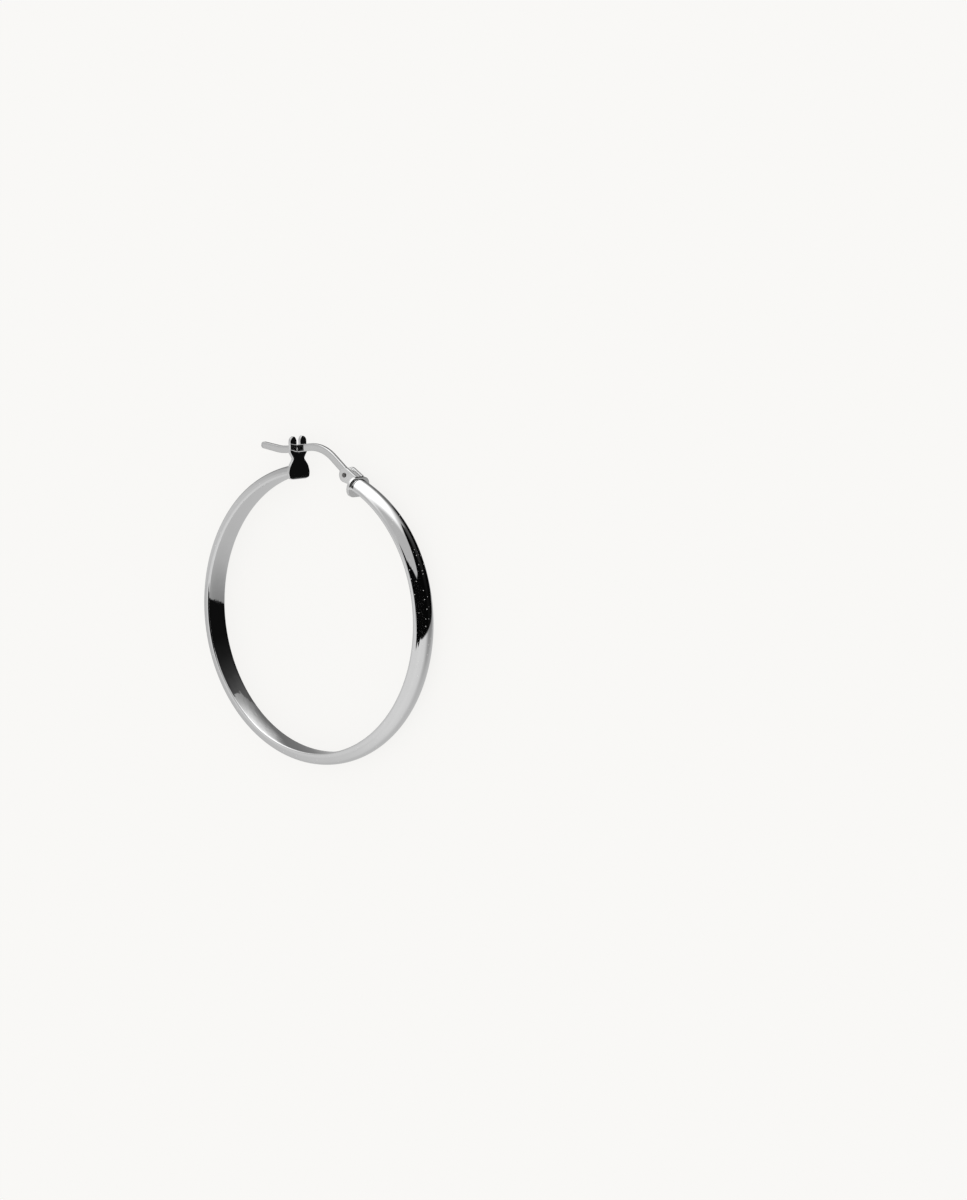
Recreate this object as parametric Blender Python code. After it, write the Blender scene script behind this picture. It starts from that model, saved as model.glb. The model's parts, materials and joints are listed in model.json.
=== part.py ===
"""A hinged hoop earring in polished silver, lying on its side.

Units are metres and +Z is up. The pieces are drawn round the hoop's own centre, with the hoop's
axis along Z and the middle of the clasp's gap on +Y. One empty then leans them until the wide end
plates and the far side of the tube touch the surface, and sets the origin under their middle.
"""

import math

import bmesh
import bpy
from mathutils import Matrix, Vector

MM = 0.001

# Hoop: a tube of D-shaped section, flat on the inside, with a gap at the top for the clasp
OUTER_DIAMETER = 34.0 * MM
TUBE_WIDTH = 2.70 * MM
TUBE_DEPTH = 1.43 * MM
TUBE_SIDE_WALL = 0.37 * MM
TUBE_INNER_ROUNDING = 0.10 * MM
GAP_ANGLE = math.radians(33.0)
WIDTH_SLIMMING = 0.20 * MM
DEPTH_SLIMMING = 0.20 * MM
SLIM_SWEEP = math.radians(35.0)

# End plates, soldered across the tube's two ends
PLATE_THICKNESS = 0.35 * MM
PLATE_WIDTH = 3.32 * MM

# Catch plate: its outline rises past the tube to two ears with a slot between them
CATCH_LEAN = math.radians(8.4)
CATCH_FOOT = 1.15 * MM
CATCH_HEIGHT = 4.80 * MM
CATCH_SEAT_HEIGHT = 3.43 * MM
SLOT_FLARE_DEPTH = 0.45 * MM
CATCH_SIDE = (
    # share of the plate's half width, share of its height: foot, waist, shoulder, ear
    (0.60, 0.000),
    (0.90, 0.030),
    (0.975, 0.080),
    (1.00, 0.140),
    (0.975, 0.205),
    (0.87, 0.310),
    (0.68, 0.400),
    (0.54, 0.465),
    (0.57, 0.510),
    (0.70, 0.575),
    (0.785, 0.622),
    (0.78, 0.700),
    (0.775, 0.800),
    (0.765, 0.900),
    (0.66, 0.965),
    (0.42, 1.000),
    (0.27, 0.965),
)

# Hinge plate and the fork that stands on it
HINGE_LEAN = math.radians(7.1)
HINGE_FOOT = 1.595 * MM
HINGE_PLATE_HEIGHT = 2.27 * MM
HINGE_FOOT_ROUNDING = 1.10 * MM
HINGE_TOP_ROUNDING = 1.05 * MM
PIVOT_RISE = 0.45 * MM
PIVOT_REACH = 1.47 * MM
FORK_EAR_RADIUS = 0.82 * MM
FORK_EAR_THICKNESS = 0.42 * MM
FORK_NECK_HEIGHT = 1.14 * MM
FORK_TOP_TURN = math.radians(110.0)

# Ear wire: a strip with rounded edges and a round eye on the hinge's rivet
WIRE_HEIGHT = 0.84 * MM
WIRE_THICKNESS = 0.50 * MM
WIRE_EDGE_ROUNDING = 0.10 * MM
WIRE_TAIL = 5.50 * MM
TAIL_TAPER = 0.12
BOW_RADIUS = 4.787 * MM
TAIL_RADIUS = 6.00 * MM
EYE_RADIUS = 0.64 * MM
EYE_THICKNESS = 0.46 * MM
EYE_OVERLAP = 0.15 * MM

# Rivet
RIVET_RADIUS = 0.17 * MM
RIVET_HEAD_RADIUS = 0.27 * MM
RIVET_HEAD_HEIGHT = 0.07 * MM
RIVET_HEAD_PROFILE = (
    # share of the head's radius, share of its height
    (1.00, 0.00),
    (0.90, 0.65),
    (0.55, 1.00),
)

# Clearances between the pieces
SLOT_CLEARANCE = 0.05 * MM
RIVET_CLEARANCE = 0.05 * MM

# The ear wire's two bends, as shares of the distance from the pivot to the catch's seat:
# how far along that line each lies, and how far outside it
BOW_CORNER_SHARES = (0.5655, 0.2013)
TAIL_CORNER_SHARES = (1.258, -0.1203)
TAIL_FALL = math.radians(10.2)

# How finely the round shapes are cut
HOOP_STEPS = 72
DOME_STEPS = 10
ROUND_STEPS = 3
CIRCLE_STEPS = 24
BEND_STEPS = 10
TIP_STEPS = 4
TIP_TURN = math.radians(78.0)
SHARP_EDGE = math.radians(35.0)

SILVER = (0.83, 0.82, 0.80, 1.0)
SILVER_ROUGHNESS = 0.12
CUT_OVERSHOOT = 0.5 * MM
ORIGIN = Vector((0.0, 0.0, 0.0))


def clear_scene():
    """Removes whatever the scene holds."""
    for thing in list(bpy.data.objects):
        bpy.data.objects.remove(thing, do_unlink=True)


def silver(name):
    """A polished silver material for one piece."""
    material = bpy.data.materials.new(name + "_silver")
    material.use_nodes = True
    shader = material.node_tree.nodes["Principled BSDF"]
    shader.inputs["Base Color"].default_value = SILVER
    shader.inputs["Metallic"].default_value = 1.0
    shader.inputs["Roughness"].default_value = SILVER_ROUGHNESS
    return material


def add_empty(name, parent=None, location=ORIGIN):
    """An empty that carries other objects."""
    empty = bpy.data.objects.new(name, None)
    bpy.context.scene.collection.objects.link(empty)
    empty.parent = parent
    empty.location = location
    return empty


def add_object(name, mesh, parent):
    """Links an object that shows the mesh and moves with its parent."""
    thing = bpy.data.objects.new(name, mesh)
    bpy.context.scene.collection.objects.link(thing)
    thing.parent = parent
    return thing


def add_piece(name, mesh, parent):
    """A piece of the earring, with its own silver and smooth round faces."""
    piece = add_object(name, mesh, parent)
    mesh.materials.append(silver(name))
    mesh.shade_smooth()
    mesh.set_sharp_from_angle(angle=SHARP_EDGE)
    return piece


def combine(piece, mesh, operation):
    """Unites a piece with another form, or cuts that form out of it."""
    form = add_object(mesh.name, mesh, piece.parent)
    form.hide_render = True
    form.display_type = "WIRE"
    modifier = piece.modifiers.new(mesh.name, "BOOLEAN")
    modifier.operation = operation
    modifier.solver = "EXACT"
    modifier.object = form
    return form


def mesh_from(name, build, matrix=None):
    """Runs a bmesh building function, turns all faces outwards and returns the mesh."""
    form = bmesh.new()
    build(form)
    if matrix is not None:
        form.transform(matrix)
    bmesh.ops.recalc_face_normals(form, faces=form.faces)
    mesh = bpy.data.meshes.new(name)
    form.to_mesh(mesh)
    form.free()
    return mesh


def skin_rings(form, rings):
    """Joins closed rings of points, one after the other, and caps both ends."""
    loops = [[form.verts.new(point) for point in ring] for ring in rings]
    count = len(loops[0])
    for near, far in zip(loops, loops[1:]):
        for index in range(count):
            following = (index + 1) % count
            form.faces.new((near[index], near[following], far[following], far[index]))
    form.faces.new(list(reversed(loops[0])))
    form.faces.new(loops[-1])


def slab(name, outline, low, high, matrix=None):
    """A flat form: the outline in local X and Y, from one local Z to another."""
    rings = [[Vector((x, y, level)) for x, y in outline] for level in (low, high)]
    return mesh_from(name, lambda form: skin_rings(form, rings), matrix)


def arc(centre, radius, start, end, steps):
    """Points on an arc between two angles, both included."""
    turns = [start + (end - start) * step / steps for step in range(steps + 1)]
    return [(centre[0] + radius * math.cos(t), centre[1] + radius * math.sin(t)) for t in turns]


def circle(radius):
    """The points of a full circle round the local origin."""
    return arc((0.0, 0.0), radius, 0.0, math.tau, CIRCLE_STEPS)[:-1]


def smooth_curve(points, steps):
    """Points on the even curve that passes through every given point."""
    padded = [points[0]] + list(points) + [points[-1]]
    curve = []
    for before, start, end, after in zip(padded, padded[1:], padded[2:], padded[3:]):
        for step in range(steps):
            t = step / steps
            curve.append(tuple(
                0.5 * (2.0 * b + (c - a) * t + (2.0 * a - 5.0 * b + 4.0 * c - d) * t ** 2
                       + (3.0 * b - a - 3.0 * c + d) * t ** 3)
                for a, b, c, d in zip(before, start, end, after)))
    curve.append(points[-1])
    return curve


def eased(share):
    """A share from 0 to 1 with a soft start and a soft end."""
    return share * share * (3.0 - 2.0 * share)


def on_hoop(radius, angle):
    """The point at a radius and at an angle from +Y towards +X."""
    return Vector((radius * math.sin(angle), radius * math.cos(angle), 0.0))


def tube_section():
    """The D-shaped section as (distance outside the flat inner face, height) pairs."""
    half = TUBE_WIDTH / 2.0
    rounding = TUBE_INNER_ROUNDING
    corner = arc((rounding, half - rounding), rounding, math.pi, math.pi / 2.0, ROUND_STEPS)
    dome_depth = TUBE_DEPTH - TUBE_SIDE_WALL
    dome = []
    for step in range(DOME_STEPS + 1):
        turn = math.pi * step / DOME_STEPS
        dome.append((TUBE_SIDE_WALL + dome_depth * math.sin(turn), half * math.cos(turn)))
    mirrored = [(out, -height) for out, height in reversed(corner)]
    return corner + dome + mirrored


def tube_rings():
    """The sections round the hoop, from the hinge's end the long way to the catch's end."""
    section = tube_section()
    inner_radius = OUTER_DIAMETER / 2.0 - TUBE_DEPTH
    sweep = math.tau - GAP_ANGLE
    rings = []
    for step in range(HOOP_STEPS + 1):
        travelled = sweep * step / HOOP_STEPS
        to_end = min(travelled, sweep - travelled)
        slimming = 1.0 - eased(min(to_end / SLIM_SWEEP, 1.0))
        depth_scale = 1.0 - slimming * DEPTH_SLIMMING / TUBE_DEPTH
        width_scale = 1.0 - slimming * WIDTH_SLIMMING / TUBE_WIDTH
        angle = GAP_ANGLE / 2.0 + travelled
        ring = []
        for out, height in section:
            point = on_hoop(inner_radius + out * depth_scale, angle)
            point.z = height * width_scale
            ring.append(point)
        rings.append(ring)
    return rings


def plate_frame(side, lean, foot):
    """The frame of an end plate: X across it, Y up it, Z out of it into the gap.

    side is -1 for the catch's end and 1 for the hinge's. The plate's middle plane passes through
    the centre of the tube's end, which lies a foot's length above the frame's origin.
    """
    tube_end = on_hoop(OUTER_DIAMETER / 2.0 - TUBE_DEPTH / 2.0, side * GAP_ANGLE / 2.0)
    up = on_hoop(1.0, side * lean)
    out = Vector((-side * up.y, side * up.x, 0.0))
    across = up.cross(out)
    frame = Matrix((across, up, out)).transposed().to_4x4()
    frame.translation = tube_end - up * foot
    return frame


def catch_frame():
    """The catch plate's frame."""
    return plate_frame(-1, CATCH_LEAN, CATCH_FOOT)


def hinge_frame():
    """The hinge plate's frame."""
    return plate_frame(1, HINGE_LEAN, HINGE_FOOT)


def catch_seat():
    """Where the ear wire's middle line passes through the catch plate."""
    return catch_frame() @ Vector((0.0, CATCH_SEAT_HEIGHT, 0.0))


def pivot():
    """Where the hinge's axis crosses the hoop's middle plane."""
    reach = PIVOT_REACH + PLATE_THICKNESS / 2.0
    return hinge_frame() @ Vector((0.0, HINGE_FOOT + PIVOT_RISE, reach))


def catch_outline():
    """The catch plate: a wide foot, a waist, and an ear on each side of a keyhole slot."""
    half = PLATE_WIDTH / 2.0
    side = smooth_curve([(x * half, y * CATCH_HEIGHT) for x, y in CATCH_SIDE], ROUND_STEPS)
    mouth = WIRE_THICKNESS / 2.0 + SLOT_CLEARANCE
    pocket = mouth + SLOT_CLEARANCE
    pocket_height = CATCH_SEAT_HEIGHT - WIRE_HEIGHT / 2.0 - SLOT_CLEARANCE + pocket
    open_angle = math.acos(mouth / pocket)
    pocket_arc = arc((0.0, pocket_height), pocket, open_angle, -math.pi / 2.0, 2 * ROUND_STEPS)
    right = side + [(mouth, CATCH_HEIGHT - SLOT_FLARE_DEPTH)] + pocket_arc
    left = [(-x, y) for x, y in reversed(right[:-1])]
    return right + left


def hinge_plate_outline():
    """The hinge plate: straight sides, a well rounded foot and a less rounded top."""
    half = PLATE_WIDTH / 2.0
    foot_x = half - HINGE_FOOT_ROUNDING
    top_x = half - HINGE_TOP_ROUNDING
    top_y = HINGE_PLATE_HEIGHT - HINGE_TOP_ROUNDING
    quarter = math.pi / 2.0
    foot = arc((foot_x, HINGE_FOOT_ROUNDING), HINGE_FOOT_ROUNDING, -quarter, 0.0, 2 * ROUND_STEPS)
    top = arc((top_x, top_y), HINGE_TOP_ROUNDING, 0.0, quarter, ROUND_STEPS)
    right = foot + top
    return right + [(-x, y) for x, y in reversed(right)]


def fork_outline():
    """The fork from the side: a round ear at the pivot, whose top slopes down to the plate.

    Points are (distance out of the plate's middle plane, height on the plate).
    """
    centre = (PIVOT_REACH + PLATE_THICKNESS / 2.0, HINGE_FOOT + PIVOT_RISE)
    bottom = centre[1] - FORK_EAR_RADIUS
    top = bottom + FORK_NECK_HEIGHT
    ear = arc(centre, FORK_EAR_RADIUS, -math.pi / 2.0, FORK_TOP_TURN, CIRCLE_STEPS)
    return [(0.0, top), (0.0, bottom)] + ear


def fork_half_slot():
    """Half the width of the slot that the ear wire's eye turns in."""
    return WIRE_THICKNESS / 2.0 + SLOT_CLEARANCE


def sideways():
    """Turns a slab drawn on a plate's Z and Y so that it spreads along the plate's X."""
    return Matrix.Rotation(-math.pi / 2.0, 4, "Y")


def pin_hole(name, length):
    """The hole that the rivet passes through, centred on the pivot."""
    return slab(name, circle(RIVET_RADIUS + RIVET_CLEARANCE), -length / 2.0, length / 2.0)


def build_hoop(parent):
    """The tube with both end plates and the hinge's fork soldered on: one solid."""
    rings = tube_rings()
    hoop = add_piece("hoop", mesh_from("hoop", lambda form: skin_rings(form, rings)), parent)
    half_plate = PLATE_THICKNESS / 2.0
    catch = slab("catch_plate_form", catch_outline(), -half_plate, half_plate, catch_frame())
    combine(hoop, catch, "UNION")
    plate = slab("hinge_plate_form", hinge_plate_outline(), -half_plate, half_plate, hinge_frame())
    combine(hoop, plate, "UNION")
    half_fork = fork_half_slot() + FORK_EAR_THICKNESS
    stand = hinge_frame() @ sideways()
    combine(hoop, slab("fork_form", fork_outline(), -half_fork, half_fork, stand), "UNION")
    centre = (PIVOT_REACH + PLATE_THICKNESS / 2.0, HINGE_FOOT + PIVOT_RISE)
    floor = centre[0] - EYE_RADIUS - SLOT_CLEARANCE
    end = centre[0] + FORK_EAR_RADIUS + CUT_OVERSHOOT
    low = centre[1] - FORK_EAR_RADIUS - CUT_OVERSHOOT
    high = centre[1] + FORK_EAR_RADIUS + CUT_OVERSHOOT
    slot_outline = [(floor, low), (end, low), (end, high), (floor, high)]
    slot = slab("fork_slot", slot_outline, -fork_half_slot(), fork_half_slot(), stand)
    combine(hoop, slot, "DIFFERENCE")
    hole = pin_hole("fork_pin_hole", 2.0 * (half_fork + CUT_OVERSHOOT))
    combine(hoop, hole, "DIFFERENCE").location = pivot()
    return hoop


def filleted_path(corners, radii):
    """A path of straight stretches, with an arc of the given radius at each inner corner."""
    path = [corners[0]]
    for before, corner, after, radius in zip(corners, corners[1:], corners[2:], radii):
        come = (corner - before).normalized()
        leave = (after - corner).normalized()
        turn = come.angle(leave)
        reach = radius * math.tan(turn / 2.0)
        start = corner - come * reach
        inward = (leave - come).normalized()
        centre = corner + inward * (radius / math.cos(turn / 2.0))
        axis = come.cross(leave).normalized()
        for step in range(BEND_STEPS + 1):
            spin = Matrix.Rotation(turn * step / BEND_STEPS, 3, axis)
            path.append(centre + spin @ (start - centre))
    path.append(corners[-1])
    return path


def wire_path():
    """The ear wire's middle line from the pivot, over the bow and the catch, to its tip.

    It is drawn round the pivot, because the wire's origin lies on the hinge's axis.
    """
    to_seat = catch_seat() - pivot()
    span = to_seat.length
    along = to_seat.normalized()
    outside = along.cross(Vector((0.0, 0.0, 1.0)))
    bow = (along * BOW_CORNER_SHARES[0] + outside * BOW_CORNER_SHARES[1]) * span
    bend = (along * TAIL_CORNER_SHARES[0] + outside * TAIL_CORNER_SHARES[1]) * span
    fall = along * math.cos(TAIL_FALL) - outside * math.sin(TAIL_FALL)
    tip = bend + fall * (WIRE_TAIL - (bend - to_seat).length)
    return filleted_path([ORIGIN, bow, bend, tip], [BOW_RADIUS, TAIL_RADIUS])


def wire_section():
    """The strip's section as (distance across the strip, height along Z) pairs."""
    rounding = WIRE_EDGE_ROUNDING
    x = WIRE_HEIGHT / 2.0 - rounding
    z = WIRE_THICKNESS / 2.0 - rounding
    section = []
    for index, (side_x, side_z) in enumerate(((1, 1), (-1, 1), (-1, -1), (1, -1))):
        start = index * math.pi / 2.0
        centre = (side_x * x, side_z * z)
        section += arc(centre, rounding, start, start + math.pi / 2.0, ROUND_STEPS)
    return section


def wire_rings():
    """The strip's sections along its path, drawn in to a round tip at the free end."""
    path = wire_path()
    section = wire_section()
    up = Vector((0.0, 0.0, 1.0))
    start = path[0].lerp(path[1], (EYE_RADIUS - EYE_OVERLAP) / (path[1] - path[0]).length)
    to_seat = catch_seat() - pivot()
    stations = [(start, path[1] - path[0], 1.0, 1.0)]
    for before, point, after in zip(path, path[1:], path[2:]):
        past_seat = max((point - to_seat).dot(to_seat.normalized()), 0.0)
        stations.append((point, after - before, 1.0 - TAIL_TAPER * past_seat / WIRE_TAIL, 1.0))
    heading = path[-1] - path[-2]
    tip_share = 1.0 - TAIL_TAPER
    tip_reach = WIRE_HEIGHT * tip_share / 2.0
    tip_start = path[-1] - heading.normalized() * tip_reach
    for step in range(TIP_STEPS + 1):
        turn = TIP_TURN * step / TIP_STEPS
        point = tip_start + heading.normalized() * (tip_reach * math.sin(turn))
        stations.append((point, heading, tip_share * math.cos(turn), (1.0 + math.cos(turn)) / 2.0))
    rings = []
    for point, direction, height_scale, thickness_scale in stations:
        across = direction.normalized().cross(up)
        rings.append([point + across * (x * height_scale) + up * (z * thickness_scale)
                      for x, z in section])
    return rings


def build_ear_wire(parent):
    """The swinging ear wire, with its origin on the hinge's axis."""
    rings = wire_rings()
    mesh = mesh_from("ear_wire", lambda form: skin_rings(form, rings))
    wire = add_piece("ear_wire", mesh, parent)
    half_eye = EYE_THICKNESS / 2.0
    combine(wire, slab("eye_form", circle(EYE_RADIUS), -half_eye, half_eye), "UNION")
    hole = pin_hole("eye_pin_hole", WIRE_THICKNESS + 2.0 * CUT_OVERSHOOT)
    combine(wire, hole, "DIFFERENCE")
    return wire


def build_rivet(parent):
    """The rivet through the fork and the eye, with a low head outside each ear."""
    face = fork_half_slot() + FORK_EAR_THICKNESS + RIVET_CLEARANCE
    head = [(share * RIVET_HEAD_RADIUS, face + rise * RIVET_HEAD_HEIGHT)
            for share, rise in RIVET_HEAD_PROFILE]
    upper = [(RIVET_RADIUS, face)] + head
    profile = [(radius, -level) for radius, level in reversed(upper)] + upper
    rings = [[Vector((x, y, level)) for x, y in circle(radius)] for radius, level in profile]
    mesh = mesh_from("hinge_rivet", lambda form: skin_rings(form, rings))
    return add_piece("hinge_rivet", mesh, parent)


def rest_lean():
    """How far the hoop leans when both plates and the far side of the tube touch the surface."""
    drop = (PLATE_WIDTH - TUBE_WIDTH) / 2.0
    widest = max(CATCH_SIDE)[1] * CATCH_HEIGHT
    plate_y = (catch_frame() @ Vector((0.0, widest, 0.0))).y
    far_y = OUTER_DIAMETER / 2.0 - TUBE_DEPTH + TUBE_SIDE_WALL
    return math.asin(drop / (plate_y + far_y))


def set_down(rest, pieces):
    """Leans the earring as it rests and puts the origin under the middle of its box."""
    rest.rotation_euler = (rest_lean(), 0.0, 0.0)
    bpy.context.view_layer.update()
    depsgraph = bpy.context.evaluated_depsgraph_get()
    corners = []
    for piece in pieces:
        evaluated = piece.evaluated_get(depsgraph)
        world = evaluated.matrix_world
        corners += [world @ vertex.co for vertex in evaluated.data.vertices]
    low = Vector([min(corner[axis] for corner in corners) for axis in range(3)])
    high = Vector([max(corner[axis] for corner in corners) for axis in range(3)])
    middle = (low + high) / 2.0
    rest.location = (-middle.x, -middle.y, -low.z)
    bpy.context.view_layer.update()


def main():
    """Builds the whole earring."""
    clear_scene()
    rest = add_empty("rest")
    hinge_axis = add_empty("hinge_axis", rest, pivot())
    hoop = build_hoop(rest)
    wire = build_ear_wire(hinge_axis)
    rivet = build_rivet(hinge_axis)
    set_down(rest, [hoop, wire, rivet])


main()
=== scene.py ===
"""The looks of a hinged hoop earring in polished silver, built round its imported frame.

The earring lies on its side on a pale floor, under a soft studio light with one bright panel and
one dark panel. Its pieces are drawn round the hoop's own centre, with the hoop's axis along Z and
the clasp on +Y, and are then leaned and set down as the frame is. Lengths are in metres.
"""

import json
import logging
import math
from dataclasses import dataclass
from enum import Enum
from typing import Any, Mapping, Sequence

import bmesh
import bpy
from mathutils import Matrix, Vector


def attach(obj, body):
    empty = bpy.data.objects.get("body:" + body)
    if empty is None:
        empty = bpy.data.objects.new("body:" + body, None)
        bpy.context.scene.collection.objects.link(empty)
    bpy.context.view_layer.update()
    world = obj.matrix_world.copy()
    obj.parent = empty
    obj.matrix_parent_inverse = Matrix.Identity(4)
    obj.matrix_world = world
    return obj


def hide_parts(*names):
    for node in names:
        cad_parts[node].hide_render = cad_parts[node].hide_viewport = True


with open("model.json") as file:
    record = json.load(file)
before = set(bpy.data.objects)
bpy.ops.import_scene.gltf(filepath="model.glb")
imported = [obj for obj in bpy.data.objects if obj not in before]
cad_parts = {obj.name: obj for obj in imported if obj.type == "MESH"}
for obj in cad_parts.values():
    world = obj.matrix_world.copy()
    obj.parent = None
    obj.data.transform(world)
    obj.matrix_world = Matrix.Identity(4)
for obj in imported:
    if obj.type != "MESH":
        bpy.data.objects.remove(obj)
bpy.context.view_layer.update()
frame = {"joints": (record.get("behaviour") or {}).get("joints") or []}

MM = 0.001
QUARTER = math.pi / 2.0
SHARP_ANGLE = math.radians(40.0)
RIM_STEPS = 6
LEAST_MITRE = 0.5

Point2 = tuple[float, float]
Triple = tuple[float, float, float]
Colour = tuple[float, float, float]
# where a soft border lies, and how wide it is
SoftEdge = tuple[float, float]

log = logging.getLogger("earring")


class Body(str, Enum):
    """The frame's bodies."""

    HOOP = "hoop"
    EAR_WIRE = "ear_wire"


class Slot(str, Enum):
    """The record's material slots."""

    HOOP = "hoop_silver"
    WIRE = "wire_silver"
    RIVET = "rivet_silver"


class Side(int, Enum):
    """The two ends of the tube, by the sign of their X."""

    CATCH = -1
    HINGE = 1


class Grain(Enum):
    """Which way the polishing marks of a finish run."""

    ROUND_THE_HOOP = "round"
    ANY_WAY = "any"


class Finish(Enum):
    """The finishes, by the piece that wears each."""

    TUBE = "tube"
    CATCH = "catch"
    HINGE = "hinge"
    WIRE = "wire"
    RIVET = "rivet"


# Node trees


class NodeGraph:
    """The node tree of one material or world."""

    def __init__(self, tree: bpy.types.NodeTree) -> None:
        """Takes a tree and empties it."""
        tree.nodes.clear()
        self.tree = tree

    def node(
        self,
        kind: str,
        settings: Mapping[str, Any] | None = None,
        inputs: Mapping[str | int, Any] | None = None,
    ) -> bpy.types.Node:
        """Adds a node.

        Args:
            kind: the node's type, without its "ShaderNode" prefix.
            settings: attributes to set first; "stops" fills a ramp with (place, grey) pairs.
            inputs: a number, a tuple, a socket or a Value for each named socket.

        Returns:
            The new node.
        """
        made = self.tree.nodes.new("ShaderNode" + kind)
        for name, setting in (settings or {}).items():
            if name == "stops":
                self._fill_ramp(made.color_ramp, setting)
            else:
                setattr(made, name, setting)
        for name, given in (inputs or {}).items():
            source = given.socket if isinstance(given, Value) else given
            if isinstance(source, bpy.types.NodeSocket):
                self.tree.links.new(source, made.inputs[name])
            else:
                made.inputs[name].default_value = source
        return made

    def value(self, node: bpy.types.Node, output: str | int = 0) -> "Value":
        """Wraps one of a node's outputs."""
        return Value(self, node.outputs[output])

    @staticmethod
    def _fill_ramp(ramp: bpy.types.ColorRamp, stops: Sequence[Point2]) -> None:
        """Gives a ramp its stops.

        Args:
            ramp: the ramp, with its two stops from the start.
            stops: (place, grey) pairs in rising order.
        """
        while len(ramp.elements) < len(stops):
            ramp.elements.new(1.0)
        for element, (place, grey) in zip(ramp.elements, stops):
            element.position = place
            element.color = (grey, grey, grey, 1.0)


class Value:
    """A number that changes over a surface or a sky, with its sums written as operators."""

    def __init__(self, graph: NodeGraph, socket: bpy.types.NodeSocket) -> None:
        """Keeps the socket that carries the number and the graph it is in."""
        self.graph = graph
        self.socket = socket

    def math(self, operation: str, *others: "Value | float") -> "Value":
        """Adds a Math node.

        Args:
            operation: the node's operation.
            others: its inputs after this value.

        Returns:
            The result.
        """
        inputs = dict(enumerate((self, *others)))
        made = self.graph.node("Math", {"operation": operation}, inputs)
        return Value(self.graph, made.outputs[0])

    def __add__(self, other: "Value | float") -> "Value":
        """This value plus another."""
        return self.math("ADD", other)

    __radd__ = __add__

    def __sub__(self, other: "Value | float") -> "Value":
        """This value less another."""
        return self.math("SUBTRACT", other)

    def __rsub__(self, other: "Value | float") -> "Value":
        """A number less this value."""
        return self * -1.0 + other

    def __mul__(self, other: "Value | float") -> "Value":
        """This value times another."""
        return self.math("MULTIPLY", other)

    __rmul__ = __mul__

    def __truediv__(self, other: "Value | float") -> "Value":
        """This value over another."""
        return self.math("DIVIDE", other)

    def step(self, edge: "Value | float", width: float) -> "Value":
        """A soft step from 0 to 1.

        Args:
            edge: where the step is half way up.
            width: how wide the step is.

        Returns:
            0 below the step and 1 above it.
        """
        span = {"From Min": -width / 2.0, "From Max": width / 2.0, "To Min": 0.0, "To Max": 1.0}
        soft = {"interpolation_type": "SMOOTHSTEP"}
        made = self.graph.node("MapRange", soft, {"Value": self - edge, **span})
        return Value(self.graph, made.outputs["Result"])

    def towards(self, other: "Value | float", share: "Value") -> "Value":
        """This value, moved towards another by a share from 0 to 1."""
        return self + (other - self) * share

    def curve(self, points: Sequence[Point2]) -> "Value":
        """Reads a broken line at this value.

        Args:
            points: (input, output) pairs in rising order of input.

        Returns:
            The line's output.
        """
        start, end = points[0][0], points[-1][0]
        bottom = min(out for _, out in points)
        top = max(out for _, out in points)
        stops = [((x - start) / (end - start), (y - bottom) / (top - bottom)) for x, y in points]
        share = (self - start) / (end - start)
        ramp = self.graph.node("ValToRGB", {"stops": stops}, {"Fac": share})
        return Value(self.graph, ramp.outputs["Color"]) * (top - bottom) + bottom


# Meshes


def arc(centre: Point2, radius: float, start: float, end: float, steps: int) -> list[Point2]:
    """Points on an arc between two angles, both included."""
    turns = [start + (end - start) * step / steps for step in range(steps + 1)]
    return [(centre[0] + radius * math.cos(t), centre[1] + radius * math.sin(t)) for t in turns]


def smooth_curve(points: Sequence[Point2], steps: int) -> list[Point2]:
    """Points on the even curve that passes through every given point.

    Args:
        points: the points to pass through.
        steps: how many points the curve has for each of them.

    Returns:
        The curve's points, both ends included.
    """
    padded = [points[0], *points, points[-1]]
    curve = []
    for before, start, end, after in zip(padded, padded[1:], padded[2:], padded[3:]):
        for step in range(steps):
            t = step / steps
            curve.append(tuple(
                0.5 * (2.0 * b + (c - a) * t + (2.0 * a - 5.0 * b + 4.0 * c - d) * t ** 2
                       + (3.0 * b - a - 3.0 * c + d) * t ** 3)
                for a, b, c, d in zip(before, start, end, after)))
    curve.append(tuple(points[-1]))
    return curve


def eased(share: float) -> float:
    """A share from 0 to 1 with a soft start and a soft end."""
    return share * share * (3.0 - 2.0 * share)


def on_hoop(radius: float, angle: float) -> Vector:
    """The point at a radius and at an angle from +Y towards +X."""
    return Vector((radius * math.sin(angle), radius * math.cos(angle), 0.0))


def inset(outline: Sequence[Point2], distance: float) -> list[Point2]:
    """Draws a closed outline in by a distance.

    Args:
        outline: the outline's points, either way round.
        distance: how far each side moves inwards.

    Returns:
        As many points as the outline has.
    """
    following = [*outline[1:], outline[0]]
    area = sum(x * next_y - next_x * y for (x, y), (next_x, next_y) in zip(outline, following))
    inwards = math.copysign(1.0, area)
    moved = []
    for before, point, after in zip([outline[-1], *outline[:-1]], outline, following):
        come = (Vector(point) - Vector(before)).normalized()
        leave = (Vector(after) - Vector(point)).normalized()
        middle = (come + leave).normalized()
        reach = distance * inwards / max(middle.dot(come), LEAST_MITRE)
        moved.append((point[0] - middle.y * reach, point[1] + middle.x * reach))
    return moved


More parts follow.
